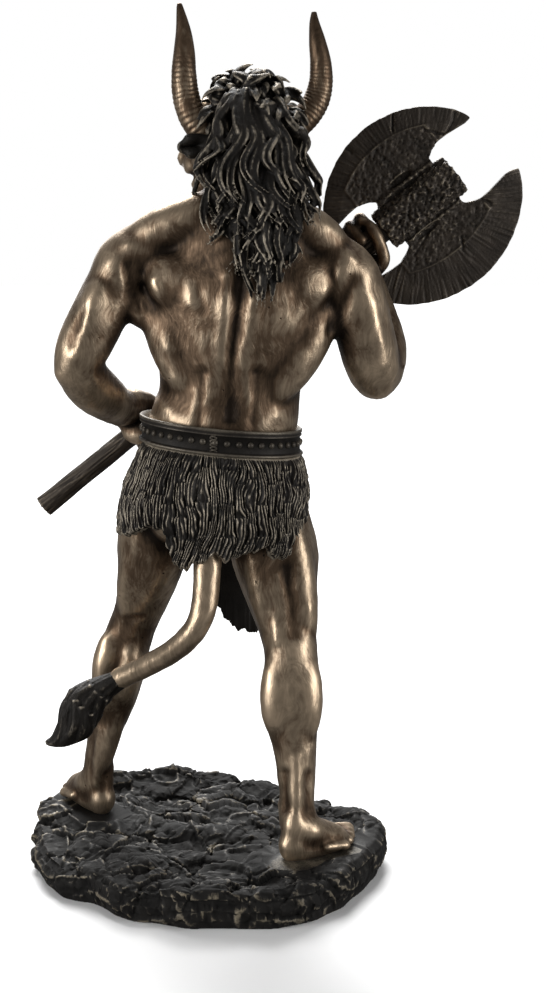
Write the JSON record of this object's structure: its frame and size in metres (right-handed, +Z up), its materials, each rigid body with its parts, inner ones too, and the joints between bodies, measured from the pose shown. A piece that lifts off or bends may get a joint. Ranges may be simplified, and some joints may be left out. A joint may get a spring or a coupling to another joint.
{
  "type": "minotaur statue",
  "caption": "Statue of a horned bull-headed man in a fur loincloth, gripping a double-bladed axe across the body, barefoot on a rough rock base.",
  "frame": {"origin": "middle of the rock base's flat underside", "axes": "+Z up; the figure faces -Y, its left hand is towards +X"},
  "size_m": [0.1778, 0.1195, 0.3002],
  "materials": {
    "aged_bronze": "brown bronze patina, rubbed bright on the raised forms",
    "dark_bronze": "dark bronze patina, rough, pale along the edges",
    "dark_rock": "dark bronzed rock, pale along the broken edges"
  },
  "bodies": {
    "root": {"minotaur": "aged_bronze", "battle_axe": "dark_bronze", "rock_base": "dark_rock"}
  },
  "joints": []
}
